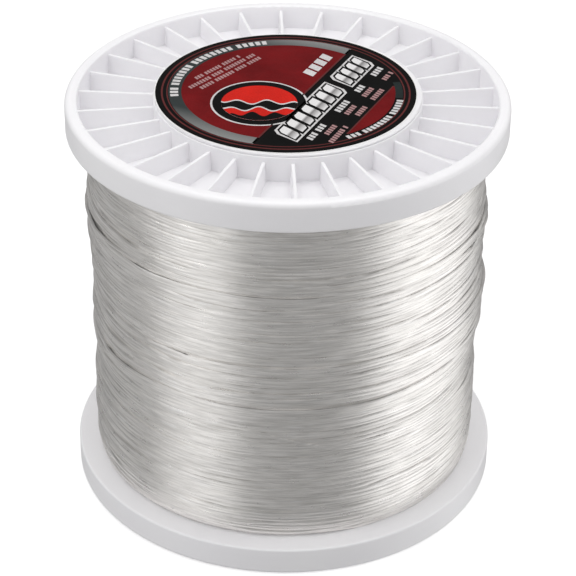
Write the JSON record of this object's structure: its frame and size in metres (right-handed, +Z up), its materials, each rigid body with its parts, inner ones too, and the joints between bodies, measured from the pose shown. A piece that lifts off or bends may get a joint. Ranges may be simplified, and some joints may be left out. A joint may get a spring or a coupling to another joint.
{
  "type": "fishing line spool",
  "caption": "Bulk spool wound full with clear monofilament line: ribbed white plastic flanges, a barrel with a central bore, and a round printed label on the upper hub.",
  "frame": {"origin": "on the spool's axis, in the rim plane of the lower flange that it stands on", "axes": "+Z up along the spool's axis, -Y towards the front, from which the label is read"},
  "size_m": [0.14, 0.14, 0.1371],
  "materials": {
    "white_moulding": "satin",
    "barrel_plastic": "satin",
    "label_paper": "gloss print",
    "clear_line": "clear gloss",
    "clear_tape": "clear gloss"
  },
  "bodies": {
    "root": {"upper_flange": "white_moulding", "lower_flange": "white_moulding", "barrel": "barrel_plastic", "arbor_sleeve": "barrel_plastic", "hub_cap": "white_moulding", "top_label": "label_paper", "line_winding": "clear_line", "line_start_tape": "clear_tape", "line_end_tape": "clear_tape"}
  },
  "joints": []
}
